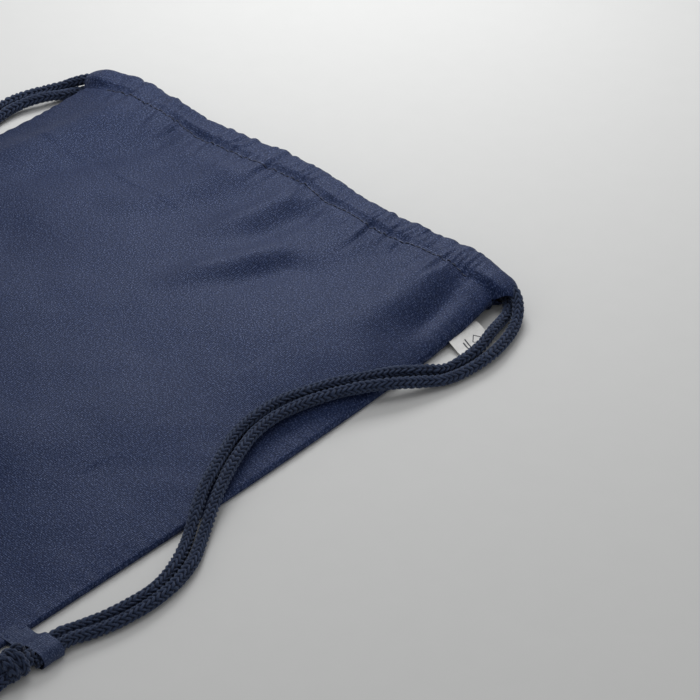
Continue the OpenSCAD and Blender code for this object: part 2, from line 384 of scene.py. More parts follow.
def navy_cloth(name, dark, light, fleck):
    """Brushed cotton cloth: a plain weave of melange yarns with light fibres, paler where it has rubbed."""
    g = Graph(name)
    at = g.cloth_place()
    warp = g.vary(at, YARNS_A_METRE, stretch=(1.0, 0.25, 1.0))
    weft = g.vary(at, YARNS_A_METRE, stretch=(0.25, 1.0, 1.0))
    yarns = g.math("MULTIPLY", g.math("ADD", warp, weft), 0.5)
    clouds = g.vary(at, 14.0, detail=3.0)
    lint = g.vary(at, LINT_A_METRE, roughness=0.7)
    base = g.blend(g.ramp(yarns, 0.38, 0.62), dark, light)
    base = g.blend(g.ramp(clouds, 0.3, 0.7, 0.0, 0.30), base, dark)
    base = g.blend(g.ramp(lint, 0.52, 0.66, 0.0, 0.75), base, fleck)
    rubbed = g.math("MULTIPLY", g.value_of("wear"), g.ramp(lint, 0.35, 0.65, 0.10, 0.45))
    base = g.blend(rubbed, base, fleck)
    weave = g.math("MULTIPLY", g.stripes(at, WEAVE_SCALE, 1.2, "X"), g.stripes(at, WEAVE_SCALE, 1.2, "Y"))
    fuzz = g.math("ADD", g.math("MULTIPLY", weave, 0.5), g.math("ADD", yarns, lint))
    g.set(Base_Color=base, Roughness=g.ramp(lint, 0.38, 0.64, 0.66, 0.46))
    g.set(Specular_IOR_Level=0.42, Specular_Tint=(0.38, 0.52, 1.0, 1.0))
    g.set(Sheen_Weight=0.08, Sheen_Roughness=0.3, Sheen_Tint=(0.30, 0.40, 0.85, 1.0))
    g.raise_by(fuzz, 0.3 * MM, strength=0.75)
    return g.material


def cord_yarn(name, dark, light, fleck):
    """Braided cotton cord: soft yarns, with painted shade in the gaps between them and painted light on top.
    """
    g = Graph(name)
    at = g.cloth_place()
    fibre = g.vary(at, FIBRES_A_METRE, detail=3.0, stretch=(1.0, 0.35, 1.0), roughness=0.7)
    clouds = g.vary(at, 120.0)
    relief = g.value_of("relief")
    # Painted shade and light: the colour is dark in the gaps between the plaits and light on their tops,
    # following their relief
    base = g.blend(g.ramp(relief, 0.25, 0.9), dark, light)
    base = g.blend(g.ramp(clouds, 0.3, 0.7, 0.0, 0.25), base, dark)
    # Pale fibres, and painted light: the relief keeps them to the plaits' tops
    fibre_and_painted_top_light = g.math("MULTIPLY", g.ramp(fibre, 0.5, 0.72, 0.0, 0.6), relief)
    base = g.blend(fibre_and_painted_top_light, base, fleck)
    g.set(Base_Color=base, Roughness=g.ramp(fibre, 0.3, 0.7, 0.80, 0.97), Specular_IOR_Level=0.25)
    g.set(Sheen_Weight=0.35, Sheen_Roughness=0.4, Sheen_Tint=(0.55, 0.62, 0.80, 1.0))
    g.raise_by(fibre, 0.3 * MM, strength=0.8)
    return g.material


def twisted_thread(name, dark, light):
    """Sewing thread: fine plies twisted together, with painted shade in the grooves between them, and a
    slight gloss.
    """
    g = Graph(name)
    at = g.cloth_place()
    ply = g.stripes(at, 700.0, 0.6, "DIAGONAL")
    fluff = g.vary(at, 4000.0)
    # Painted shade: the colour is dark where the ply stripes are low, in the grooves between the plies
    g.set(Base_Color=g.blend(ply, dark, light), Roughness=g.ramp(fluff, 0.3, 0.7, 0.5, 0.7))
    g.set(Sheen_Weight=0.2, Specular_IOR_Level=0.4)
    g.raise_by(ply, 0.08 * MM)
    return g.material


def off_centre(g, value, centre):
    """How far a value is from a centre, either way."""
    return g.math("ABSOLUTE", g.math("SUBTRACT", value, centre))


def bar(g, off_u, off_v, half_u, half_v):
    """1 inside a rectangle on the cloth, and 0 outside it."""
    return g.math("MULTIPLY", g.math("LESS_THAN", off_u, half_u), g.math("LESS_THAN", off_v, half_v))


# The label's mark, in millimetres on the label: its middle line, then the places and half sizes of its parts
MARK_U = 8.5
DIAMOND_V, DIAMOND_OUTER, DIAMOND_INNER = 16.5, 3.6, 2.8
WIDE_BAR_V, WIDE_BAR_HALF = 9.8, 4.0
SHORT_BAR_V, SHORT_BAR_HALF = 7.5, 2.6
BAR_HALF_H = 0.5
INK = (0.03, 0.035, 0.05, 1.0)


def woven_label(name):
    """White satin label with a generic mark: a small open diamond over two plain bars."""
    g = Graph(name)
    at = g.cloth_place()
    parts = g.node("SeparateXYZ", {"Vector": at}).outputs
    off_u = off_centre(g, parts[0], MARK_U * MM)
    diamond = g.math("ADD", off_u, off_centre(g, parts[1], DIAMOND_V * MM))
    in_outer = g.math("LESS_THAN", diamond, DIAMOND_OUTER * MM)
    past_inner = g.math("GREATER_THAN", diamond, DIAMOND_INNER * MM)
    ring = g.math("MULTIPLY", in_outer, past_inner)
    wide = bar(g, off_u, off_centre(g, parts[1], WIDE_BAR_V * MM), WIDE_BAR_HALF * MM, BAR_HALF_H * MM)
    short = bar(g, off_u, off_centre(g, parts[1], SHORT_BAR_V * MM), SHORT_BAR_HALF * MM, BAR_HALF_H * MM)
    mark = g.math("MAXIMUM", ring, g.math("MAXIMUM", wide, short))
    satin = g.stripes(at, 520.0, 0.8, "X")
    grime = g.vary(at, 160.0, detail=3.0)
    white = g.blend(g.ramp(grime, 0.3, 0.7), (0.80, 0.80, 0.78, 1.0), (0.90, 0.90, 0.89, 1.0))
    g.set(Base_Color=g.blend(mark, white, INK), Roughness=g.ramp(grime, 0.3, 0.7, 0.55, 0.7))
    g.set(Sheen_Weight=0.15, Specular_IOR_Level=0.4)
    g.raise_by(satin, 0.06 * MM, strength=0.6)
    return g.material


def pale_surface():
    """The plain matt surface that the bag lies on."""
    g = Graph("pale_surface")
    place = g.node("TexCoord").outputs["Object"]
    mottle = g.vary(place, 60.0, detail=3.0)
    tone = g.blend(mottle, (0.72, 0.725, 0.72, 1.0), (0.74, 0.745, 0.74, 1.0))
    g.set(Base_Color=tone, Roughness=1.0, Specular_IOR_Level=0.0)
    return g.material


CLOTH = navy_cloth(
    "navy_cotton",
    dark=(0.002, 0.006, 0.026, 1.0),
    light=(0.009, 0.018, 0.062, 1.0),
    fleck=(0.095, 0.128, 0.250, 1.0),
)
# The braid's light colour is painted light on the plaits' tops; its dark colour is painted shade in their
# gaps, and also its random darker clouds
CORD = cord_yarn(
    "navy_braid",
    dark=(0.003, 0.006, 0.020, 1.0),
    light=(0.034, 0.052, 0.105, 1.0),
    fleck=(0.13, 0.16, 0.26, 1.0),
)
# The thread's dark colour is painted shade in the grooves between its plies
THREAD = twisted_thread("navy_thread", dark=(0.010, 0.015, 0.040, 1.0), light=(0.035, 0.048, 0.095, 1.0))
LABEL = woven_label("label_satin")
TAPE = navy_cloth(
    "navy_tape",
    dark=(0.012, 0.018, 0.046, 1.0),
    light=(0.030, 0.042, 0.090, 1.0),
    fleck=(0.10, 0.13, 0.21, 1.0),
)


# ---- camera


VIEW_AZIMUTH = 43.4
VIEW_ELEVATION = 36.1
VIEW_DISTANCE = 1.621
VIEW_TARGET = (0.1337, 0.1064, 0.0)
LENS_MM = 150.0
SENSOR_MM = 36.0


def make_camera():
    """The photo's view: from beyond the bag's lower right, looking down at the right end of the hem."""
    azimuth, elevation = math.radians(VIEW_AZIMUTH), math.radians(VIEW_ELEVATION)
    level = math.cos(elevation)
    back = Vector((math.sin(azimuth) * level, -math.cos(azimuth) * level, math.sin(elevation)))
    lens = bpy.data.cameras.new("camera")
    lens.lens = LENS_MM
    lens.sensor_width = SENSOR_MM
    camera = bpy.data.objects.new("camera", lens)
    camera.location = Vector(VIEW_TARGET) + back * VIEW_DISTANCE
    camera.rotation_mode = "QUATERNION"
    camera.rotation_quaternion = (-back).to_track_quat("-Z", "Y")
    bpy.context.scene.collection.objects.link(camera)
    bpy.context.scene.camera = camera


make_camera()


# ---- shape of the bag


def half_w(y):
    """Half of the bag's width at a height along it."""
    return BAG_W / 2 - SIDE_DRAW * np.power(np.maximum(0.0, (y + BAG_H / 2) / BAG_H), 3)


def panel_share(y):
    """How far up its panel a point is, from 0 at the bottom fold to 1 at the hem."""
    return (y + BAG_H / 2) / (HEM_LOW_Y + BAG_H / 2)


def crown(share, power=CROWN_POWER):
    """An arch from 1 in the middle to 0 at both sides. It is flatter on top with a higher power."""
    return 1.0 - np.power(np.minimum(np.abs(share), 1.0), power)


def hem_crown(x):
    """How much higher the front hem's outer side is than at the corners."""
    return MOUTH_GAP * crown(x / half_w(HEM_LOW_Y))


# ---- cords


def in_metres(route, side):
    """A route given in millimetres, mirrored where side is -1."""
    return np.array(route, float) * MM * np.array([side, 1.0, 1.0])


def strand_route(side, run_y, mouth_z, route, pair_x):
    """The whole line of a strand, from its mouth to the knot. Its first points shift towards its own run."""
    ends = [(side * pair_x, y, LOOP_Z) for y in (LOOP_Y + 0.014, LOOP_Y, KNOT_TOP_Y)]
    starts = [(side * x, run_y, mouth_z) for x in (MOUTH_X, MOUTH_X + 0.006)]
    middle = in_metres(route, side)
    shifted_points = 5
    fade = np.clip(1.0 - np.arange(len(middle)) / shifted_points, 0.0, 1.0)
    middle[:, 1] += (run_y - RIGHT_RUN_Y) * fade
    return np.concatenate([starts, middle, ends])


# The braid: columns of plaits round the cord, a plait's size, how fast the columns wind, and the grid
WALES = 4
PLAIT_L = 0.0036
PLAIT_DEPTH = 0.0017
PLAIT_PROUD = 0.0003
TURNS_A_METRE = 6.0
TAPER_L = 0.003
BRAID_SIDES = 40
BRAID_STEP = 0.0005


def braid_relief(along, angle):
    """Height of the plaits on a cord's surface, from 0 in the gaps to 1: columns of V-shaped stitches."""
    wale = np.mod(angle * WALES / (2 * np.pi) + along * TURNS_A_METRE, 1.0)
    column = np.abs(2.0 * wale - 1.0)
    uneven = 0.30 * noise(along, 0.01 * angle, 0.0065, 6)
    stitch = np.mod(along / PLAIT_L + 0.95 * column + uneven, 1.0)
    yarn = np.power(1.0 - np.square(2.0 * stitch - 1.0), 0.75)
    arm = np.sqrt(np.maximum(0.0, 1.0 - 0.75 * np.square(2.0 * column - 1.0)))
    return yarn * arm


def braid(name, path, ends=(1.0, 1.0), thick=CORD_R, step=BRAID_STEP, sides=BRAID_SIDES):
    """A braided cord along a path. ends says how wide it is at its two ends."""
    line = smooth_path(path, step)
    along = np.arange(len(line)) * np.linalg.norm(line[1] - line[0])
    angle = 2 * np.pi * np.arange(sides) / sides
    relief = braid_relief(along[:, None], angle[None, :])
    drift = 1.0 + 0.045 * noise(along, 0.0, 0.008, 5)
    start_taper = mix(ends[0], 1.0, ease(along / TAPER_L))
    end_taper = mix(ends[1], 1.0, ease((along[-1] - along) / TAPER_L))
    width = drift * (start_taper * end_taper)
    radius = (thick + PLAIT_PROUD - PLAIT_DEPTH * (1.0 - relief)) * width[:, None]
    points = swept(line, sides, radius)
    uvs = stacked(along[:, None], angle * thick)
    # The relief is also kept on the mesh, and the cord's material paints shade in the gaps and light on the
    # tops from it
    piece = make_mesh(name, points, tube_faces(len(line), sides), CORD, uvs, {"relief": relief})
    return piece, line


def free_strand(side, word, kind, run_y, mouth_z, route, pair_x):
    """One of a cord's two strands outside the hem."""
    path = strand_route(side, run_y, mouth_z, route, pair_x)
    piece, line = braid(f"{word}_{kind}_strand_braid", path)
    stands_for(f"{word}_{kind}_strand")
    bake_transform(piece)
    return piece, line


# The knot: how often it winds round the pair, how wide it winds, and the radius of its wraps and its core
KNOT_TURNS = 2.2
KNOT_WRAP_R = 0.0050
KNOT_WRAP_THICK = 0.0032
KNOT_CORE_THICK = 0.0042


def knot(side, word):
    """An overhand knot in both strands: a strand that winds round the pair, and the pair inside it."""
    t = np.linspace(0.0, 1.0, 26)
    angle = 2 * np.pi * (KNOT_TURNS * t + 0.25)
    inset = 0.0034
    wrap = stacked(
        side * (LOOP_X + KNOT_WRAP_R * np.cos(angle)),
        KNOT_TOP_Y - inset - (KNOT_L - 2 * inset) * t,
        KNOT_Z + KNOT_WRAP_R * np.sin(angle),
    )
    core = [
        (side * LOOP_X, KNOT_TOP_Y + 0.001, LOOP_Z + 0.001),
        (side * (LOOP_X + 0.0008), KNOT_TOP_Y - 0.008, KNOT_Z),
        (side * (LOOP_X - 0.0008), KNOT_TOP_Y - 0.013, KNOT_Z),
        (side * LOOP_X, KNOT_TOP_Y - KNOT_L - 0.001, LOOP_Z + 0.001),
    ]
    wraps, _ = braid(f"{word}_knot_wraps", wrap, ends=(0.6, 0.6), thick=KNOT_WRAP_THICK)
    inner, _ = braid(f"{word}_knot_core", core, thick=KNOT_CORE_THICK)
    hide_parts(f"{word}_knot")
    for part in (wraps, inner):
        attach(part, "bag")
    return [wraps, inner]


def tails(side, word):
    """The two cord ends past the knot, bound at their tips."""
    end_y = KNOT_TOP_Y - KNOT_L
    made = []
    for place, hand in (("outer", 1), ("inner", -1)):
        route = [
            (side * (LOOP_X + hand * PAIR_HALF * 0.8), end_y + 0.004, LOOP_Z + 0.001),
            (side * (LOOP_X + hand * PAIR_HALF), end_y - 0.3 * TAIL_L, LOOP_Z),
            (side * (LOOP_X + hand * (PAIR_HALF + 0.002)), end_y - 0.65 * TAIL_L, 0.0040),
            (side * (LOOP_X + hand * (PAIR_HALF + 0.005)), end_y - TAIL_L, 0.0035),
        ]
        piece, line = braid(f"{word}_{place}_tail", route, ends=(1.0, 0.72))
        stands_for(f"{word}_tails")
        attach(piece, "bag")
        made.append(piece)
        made.append(whipping(f"{word}_{place}_whipping", line))
    return made


# The thread wound round a cord's end: how many turns, on how many of its last rings, how wide, and how thick
WHIPPING_TURNS = 9
WHIPPING_RINGS = 14
WHIPPING_R = 0.0027
WHIPPING_THREAD_R = 0.00034


def whipping(name, line):
    """Thread wound around a cord's end to keep it from fraying."""
    points_a_turn = 20
    part = line[-WHIPPING_RINGS:]
    across, up = frames(part)
    t = np.linspace(0.0, 1.0, WHIPPING_TURNS * points_a_turn)
    at = t * (len(part) - 4) + 1
    centre = np.stack([np.interp(at, np.arange(len(part)), part[:, k]) for k in range(3)], axis=-1)
    angle = (2 * np.pi * WHIPPING_TURNS * t)[:, None]
    index = np.round(at).astype(int)
    wound = centre + (across[index] * np.cos(angle) + up[index] * np.sin(angle)) * WHIPPING_R
    piece = threads(name, [wound], WHIPPING_THREAD_R, 6, THREAD)
    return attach(piece, "bag")


def cord_in_hem(side, word, run_y):
    """The cord's run along both channels, with its turn at the far corner."""
    turn_r = (FRONT_HEM_Z - BACK_HEM_Z) / 2
    turn_z = BACK_HEM_Z + turn_r
    xs = np.linspace(MOUTH_X, -MOUTH_X, 9)
    angles = np.radians(np.arange(30, 180, 30))
    front = [(side * x, run_y, FRONT_HEM_Z) for x in xs]
    bend = [(side * (-MOUTH_X - turn_r * math.sin(a)), run_y, turn_z + turn_r * math.cos(a)) for a in angles]
    back = [(side * x, run_y, BACK_HEM_Z) for x in xs[::-2]]
    piece, _ = braid(f"{word}_cord_in_hem_braid", front + bend + back, thick=0.0031, step=0.0008, sides=30)
    stands_for(f"{word}_cord_in_hem")
    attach(piece, f"{word}_cord")


# Each strand of a cord: its name, the height of its mouth, its route, and its side of the pair's middle
STRANDS = [
    ("outer", FRONT_HEM_Z, OUTER_ROUTE, 1),
    ("inner", BACK_HEM_Z, INNER_ROUTE, -1),
]


def cords():
    """Both cords. It gives back the lines of their four strands."""
    lines = []
    for side, word, run_y in ((1, "right", RIGHT_RUN_Y), (-1, "left", LEFT_RUN_Y)):
        made = []
        for kind, mouth_z, route, hand in STRANDS:
            made.append(free_strand(side, word, kind, run_y, mouth_z, route, LOOP_X + hand * PAIR_HALF))
        ends = knot(side, word) + tails(side, word)
        for (piece, line), (kind, mouth_z, _, _) in zip(made, STRANDS):
            lines.append(line)
        cord_in_hem(side, word, run_y)
    return lines


STRAND_LINES = cords()


# ---- cloth


def stitch_y(x):
    """The hem's stitch line, which wanders as the hem gathers."""
    return 0.1845 + 0.0022 * np.sin(x / 0.0205 + 0.9) + 0.0008 * np.sin(x / 0.0081)


# The hem's rounded outer corner: its radius and centre, and where the plain edge gives way to it
TIP_R = 0.0105
TIP_X = 0.1665
TIP_Y = 0.195
TIP_FROM_X = 0.146


def fold_y(x):
    """The hem's folded edge: wavy, and round at the outer corners."""
    wave = np.sin((np.abs(x) - 0.105) * 2 * np.pi / 0.127)
    plain = 0.2073 + 0.0026 * wave + 0.0007 * ridges(x, 0.022)
    past_centre = np.maximum(0.0, np.abs(x) - TIP_X)
    corner = TIP_Y + np.sqrt(np.maximum(0.0, TIP_R**2 - np.square(past_centre)))
    return mix(plain, corner, ease((np.abs(x) - TIP_FROM_X) / 0.020))


# Where the gathers crowd together: middle of each group, its half width, and how high its ridges are
GATHER_GROUPS = [
    (0.018, 0.024, 0.8),
    (0.052, 0.012, 0.55),
    (0.082, 0.013, 0.9),
    (0.108, 0.015, 1.0),
    (0.137, 0.013, 1.0),
]
GATHER_H = 0.0017


def ridges(x, y):
    """Uneven ridges across the hem, from about -1 to 1. They lean a little, and crowd in the groups."""
    lean = x + 0.10 * y + 0.0016 * noise(x, y, 0.012, 14)
    crowded = 0.22
    for middle, spread, height in GATHER_GROUPS:
        crowded = crowded + height * bump((np.abs(x) - middle) / spread)
    fine = noise(lean, 0.12 * y, 0.0021, 12)
    coarse = noise(lean, 0.10 * y, 0.0042, 13)
    return np.minimum(crowded, 1.1) * (0.55 * fine + 0.85 * coarse)


def creased(x, above):
    """Height of the gathers at a distance above the stitch line.

    They run up to the fold, and a little way down the panel.
    """
    down = 0.014 + 0.009 * noise(x, 0.0, 0.009, 15)
    reach = np.where(above < 0, bump(above / down), mix(1.0, 0.45, ease(above / 0.020)))
    return GATHER_H * ridges(x, above) * reach * ease((0.172 - np.abs(x)) / 0.012)


# Each fold of the drape, in metres: from, to, half width, and height as a share of FOLD_H
FOLDS = [
    ((-0.050, 0.080), (-0.014, 0.186), 0.014, 0.9),
    ((0.012, 0.100), (0.024, 0.182), 0.009, 0.8),
    ((0.034, 0.110), (0.042, 0.182), 0.009, -0.8),
    ((0.026, 0.050), (0.056, 0.128), 0.010, 0.9),
    ((0.054, 0.070), (0.073, 0.128), 0.010, -0.7),
    ((0.082, 0.080), (0.096, 0.184), 0.013, -0.4),
    ((0.136, 0.090), (0.134, 0.188), 0.013, 1.0),
    ((0.160, 0.120), (0.149, 0.190), 0.008, -0.9),
    ((-0.130, 0.040), (-0.070, 0.182), 0.013, -0.7),
    ((-0.150, 0.060), (-0.118, 0.184), 0.012, 0.8),
    ((0.040, -0.150), (0.120, -0.020), 0.024, 0.45),
    ((-0.090, -0.120), (-0.010, 0.020), 0.026, 0.4),
    ((-0.150, -0.060), (-0.060, -0.150), 0.020, 0.35),
]
FOLD_H = 0.0043
SWELL_H = 0.0016
RUMPLE_H = 0.0004


def drape(x, y):
    """Broad soft folds that run down from the hem, on a gently uneven cloth."""
    return FOLD_H * fan(x, y) + SWELL_H * noise(x, y, 0.050, 3) + RUMPLE_H * noise(x, y, 0.016, 4)


def fan(x, y):
    """The sum of all the folds: each is a soft ridge or hollow along its own line."""
    total = 0.0
    for (x0, y0), (x1, y1), width, height in FOLDS:
        dx, dy = x1 - x0, y1 - y0
        length = math.hypot(dx, dy)
        along = ((x - x0) * dx + (y - y0) * dy) / length**2
        off = ((x - x0) * dy - (y - y0) * dx) / length
        total = total + height * bump(off / width) * ease(along / 0.45) * ease((1.25 - along) / 0.3)
    return total


def side_z(v):
    """Height of the front panel's edge, which lifts towards the hem."""
    return mix(EDGE_Z, SIDE_TOP_Z, np.power(np.maximum(0.0, (v - 0.75) / 0.25), 3))


def ridge_z(v):
    """Height of the front panel's middle line."""
    return mix(mix(EDGE_Z, PUFF_H, ease(v / 0.3)), FRONT_HEM_Z + MOUTH_GAP, ease((v - 0.6) / 0.4))


# Near the hem the front panel lifts, its folds calm down, and the stitches pull it in
HEM_LIFT = 0.0034
HEM_LIFT_L = 0.060
CALM_L = 0.022
SEAM_DIP = 0.0006
SEAM_DIP_L = 0.0016
SIDE_PUCKER_H = 0.00035


def front_z(x, y):
    """Height of the front panel's outer side."""
    v = np.clip(panel_share(y), 0.0, 1.0)
    share = np.minimum(np.abs(x) / half_w(y), 1.0)
    below = stitch_y(x) - y
    full = crown(share, mix(CROWN_POWER, HEM_CROWN_POWER, ease((v - 0.55) / 0.45)))
    plain = mix(side_z(v), ridge_z(v), full) + CLOTH_T / 2 + HEM_LIFT * full * ease(1.0 - below / HEM_LIFT_L)
    inland = ease((1.0 - share) / 0.10)
    seam_dip = -SEAM_DIP * bump(below / SEAM_DIP_L)
    puckers = SIDE_PUCKER_H * np.sin(y / 0.0014 + 1.5 * np.sin(y / 0.006)) * np.exp(-(1.0 - share) / 0.05)
    calm = 1.0 - 0.65 * ease(1.0 - below / CALM_L)
    return plain + inland * calm * drape(x, y) + creased(x, -below) + seam_dip + puckers


# The cloth is pressed down by a strand below PRESSED_TOP_Y, and rises beside it with this slope
PRESSED_TOP_Y = 0.168
PRESSED_SLOPE = 0.8
PRESSED_GAP = 0.0003
POINTS_AT_A_TIME = 4000


def pressed(points):
    """The cloth's points, pushed down where a strand lies on it."""
    flat = points.reshape(-1, 3).copy()
    for line in STRAND_LINES:
        coarse = line[::4]
        past_low_x = flat[:, 0] > coarse[:, 0].min() - 0.02
        before_high_x = flat[:, 0] < coarse[:, 0].max() + 0.02
        near = np.flatnonzero(past_low_x & before_high_x & (flat[:, 1] < PRESSED_TOP_Y))
        for chunk in np.array_split(near, max(1, len(near) // POINTS_AT_A_TIME)):
            away = np.linalg.norm(flat[chunk][:, None, :2] - coarse[None, :, :2], axis=-1)
            index = away.argmin(axis=1)
            off = away[np.arange(len(chunk)), index]
            under = coarse[index, 2] - np.sqrt(np.maximum(0.0, CORD_R**2 - np.square(off))) - PRESSED_GAP
            beside = under + np.maximum(0.0, off - CORD_R) * PRESSED_SLOPE
            flat[chunk, 2] = np.minimum(flat[chunk, 2], beside)
    return flat.reshape(points.shape)


# How a panel turns over its edge into the seam: each point's distance from the edge, and how far it drops
ROLL_R = 0.0019
ROLL_ANGLES = np.radians(np.linspace(0.0, 78.0, 7))
ROLL_IN = np.concatenate([ROLL_R * (1 - np.sin(ROLL_ANGLES)), [0.0003, 0.0010, 0.0026]])
ROLL_DROP = np.concatenate([ROLL_R * (1 - np.cos(ROLL_ANGLES)), [0.0017, ROLL_R, ROLL_R]])
CORNER_R = 0.010

# The grid of a panel's half: about how wide it is, and its rows, which are closer together near the hem
GRID_W = 0.175
FINE_FROM = 0.84
COARSE_L = 0.325
FINE_L = 0.060


def panel_grid(side, step):
    """Plan of one half of a panel: x and y of its points, and how far each has dropped at the edge."""
    across = np.linspace(0.0, 1.0, round(GRID_W / step) + 1)
    rolls = len(ROLL_IN) - 1
    share = np.concatenate([across, np.ones(rolls)])[None, :]
    in_x = np.concatenate([np.full(len(across), ROLL_IN[0]), ROLL_IN[1:]])[None, :]
    drop_x = np.concatenate([np.zeros(len(across)), ROLL_DROP[1:]])[None, :]
    low_part = np.linspace(0.0, FINE_FROM, round(COARSE_L / (1.5 * step)) + 1)
    top_part = np.linspace(FINE_FROM, 1.0, round(FINE_L / (0.7 * step)) + 1)[1:]
    height = np.concatenate([np.zeros(rolls), low_part, top_part])[:, None]
    flat_rows = len(low_part) + len(top_part)
    in_y = np.concatenate([ROLL_IN[:0:-1], np.full(flat_rows, ROLL_IN[0])])[:, None]
    drop_y = np.concatenate([ROLL_DROP[:0:-1], np.zeros(flat_rows)])[:, None]
    low_y = -BAG_H / 2
    y = mix(low_y + in_y, HEM_LOW_Y, height)
    # x and y depend on each other, and a few rounds settle them
    for _ in range(3):
        x = side * share * (half_w(y) - ROLL_IN[0]) + side * (share >= 1.0) * (ROLL_IN[0] - in_x)
        y = mix(low_y + in_y, stitch_y(x), height)
    reach_x = np.maximum(0.0, np.abs(x) - (half_w(low_y) - CORNER_R))
    reach_y = np.maximum(0.0, low_y + CORNER_R - y)
    square = np.maximum(np.maximum(reach_x, reach_y), 1e-9)
    rounding = square / np.maximum(np.hypot(reach_x, reach_y), 1e-9)
    x = x - side * reach_x * (1.0 - rounding)
    y = y + reach_y * (1.0 - rounding)
    return x, y, np.maximum(drop_x, drop_y)


def panel_half(name, side, step, height_at, under, node):
    """One half of a panel as a ply of cloth. under says that its outer side faces down."""
    x, y, drop = panel_grid(side, step)
    z = height_at(x, y) + (drop if under else -drop)
    points = stacked(x, y, z)
    if not under:
        points = pressed(points)
    normals = grid_normals(points)
    if (normals[..., 2].mean() < 0) != under:
        points, normals = points[:, ::-1], -normals[:, ::-1]
        drop = drop[:, ::-1]
    wear = 0.75 * ease(drop / ROLL_R) * (drop < 0.95 * ROLL_R)
    piece = shell(name, points, normals, CLOTH_T, CLOTH, points[..., :2], {"wear": wear})
    gathers_with(piece)
    stands_for(node)


def gathers_with(piece):
    """Bakes the piece's place into its mesh."""
    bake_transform(piece)


def back_z(x, y):
    """Height of the back panel's outer side, which lies flat and rises to the seam near the hem."""
    v = np.clip(panel_share(y), 0.0, 1.0)
    share = np.minimum(np.abs(x) / half_w(y), 1.0)
    rise = (side_z(v) - EDGE_Z) * ease((share - 0.86) / 0.14)
    return FLOOR_GAP + rise + 0.0003 * (1.0 + noise(x, y, 0.030, 8)) * ease((1.0 - share) / 0.05)


# The hems: half of their thickness over the cords and at the stitches, their ends, their grid, and flat size
HEM_H = 0.0046
HEM_EDGE_H = 0.0006
HEM_END_X = 0.167
TIP_L = 0.010
HOOD_L = 0.0055
BACK_END_IN = 0.0070
DROOP_H = 0.0050
DROOP_FROM_X = 0.160
DROOP_L = 0.017
HEM_STEP = 0.0011
HEM_SIDES = 64
HEM_FLAT_L = 0.058


def hem_thickness(q):
    """Half of the hem's thickness at a share of its depth: flat over the cords, and round at the fold."""
    rising = mix(HEM_EDGE_H, HEM_H, ease(q / 0.32))
    rounding = HEM_H * np.sqrt(np.maximum(0.0, 1.0 - np.square(np.maximum(0.0, (q - 0.66) / 0.34))))
    return np.minimum(rising, rounding)


def hem_plan(side, front, turn, q):
    """x and y of a hem's points, the stitch line below each, and how near its open end each is.

    That is 0 at the end, and 1 from HOOD_L inside it.
    """
    inward = 0.0 if front else BACK_END_IN * ease(q / 0.3)
    end_x = HEM_END_X + TIP_L * (1.0 - np.power(1.0 - q, 2.5)) - inward
    end_x = np.where(turn <= 0.5, end_x, mix(end_x, MOUTH_X - 0.002, ease((1.0 - q) / 0.15)))
    share = np.linspace(0.0, 1.0, round(HEM_END_X / HEM_STEP) + 1)[:, None]
    share = share + 0.15 * share * (1.0 - share) * share
    x = side * share * end_x
    low, high = stitch_y(x), fold_y(x)
    past = np.clip((np.abs(end_x) - np.abs(x)) / HOOD_L, 0.0, 1.0)
    y = low + q * (high - low)
    return x, y, low, past


def hem_half(name, side, front, node):
    """One half of a turned hem: up from the stitch line, over the fold, and back down inside."""
    turn = np.linspace(0.0, 1.0, HEM_SIDES + 1)[None, :]
    q = np.sin(np.pi * turn)
    outside = turn <= 0.5
    x, y, low, past = hem_plan(side, front, turn, q)
    droop = DROOP_H * np.square(np.maximum(0.0, np.abs(x) - DROOP_FROM_X) / DROOP_L)
    rising = mix(HEM_EDGE_H + 0.0003, BACK_HEM_Z, ease(q / 0.32))
    middle = FRONT_HEM_Z - droop if front else rising
    half = hem_thickness(q)
    shoulder = np.sqrt(1.0 - np.square(1.0 - past))
    rim = 0.62 * ease(q / 0.55) if front else 0.3
    keep = np.where(outside, mix(rim, 1.0, shoulder), 1.0)
    folds = np.maximum(creased(x, y - low), -0.0009)
    folds = folds + 0.0005 * noise(x, y, 0.014, 11) * ease(q / 0.15) * shoulder
    if front:
        top = middle + half * keep + hem_crown(x) * ease(q / 0.3) * ease((1.0 - q) / 0.2) + folds
        at_stitch = front_z(x, low)
        at_edge = middle + HEM_EDGE_H + folds
        top = top + (at_stitch - at_edge) * bump(q / 0.21)
        bottom = middle - half + np.maximum(0.0, at_stitch - 0.0012 - middle + half) * bump(q / 0.16)
        z = np.where(outside, top, bottom)
    else:
        lift = (SIDE_TOP_Z - EDGE_Z) * (1.0 - ease(q / 0.5)) * (1.0 - shoulder)
        z = np.where(outside, middle - half * keep + lift, middle + half + 0.4 * folds)
    points = stacked(x, y, np.maximum(z, FLOOR_GAP))
    normals = grid_normals(points)
    faces_out = (normals[len(normals) // 2, HEM_SIDES // 4, 2] > 0) == front
    if not faces_out:
        points, normals = points[::-1], -normals[::-1]
    spread = np.broadcast_to(turn, points.shape[:2])
    wear = 0.55 * bump((spread - 0.5) / 0.07) + 0.15 * bump(spread / 0.02)
    uvs = stacked(points[..., 0], HEM_LOW_Y + spread * HEM_FLAT_L)
    piece = shell(name, points, normals, CLOTH_T, CLOTH, uvs, {"wear": wear})
    gathers_with(piece)
    stands_for(node)


STITCH_L = 0.0031
STITCH_GAP = 0.0007
STITCH_R = 0.0003
STITCH_SINK = 0.0005
STITCH_POINTS = 7
BACK_STITCH_Z = 0.0017


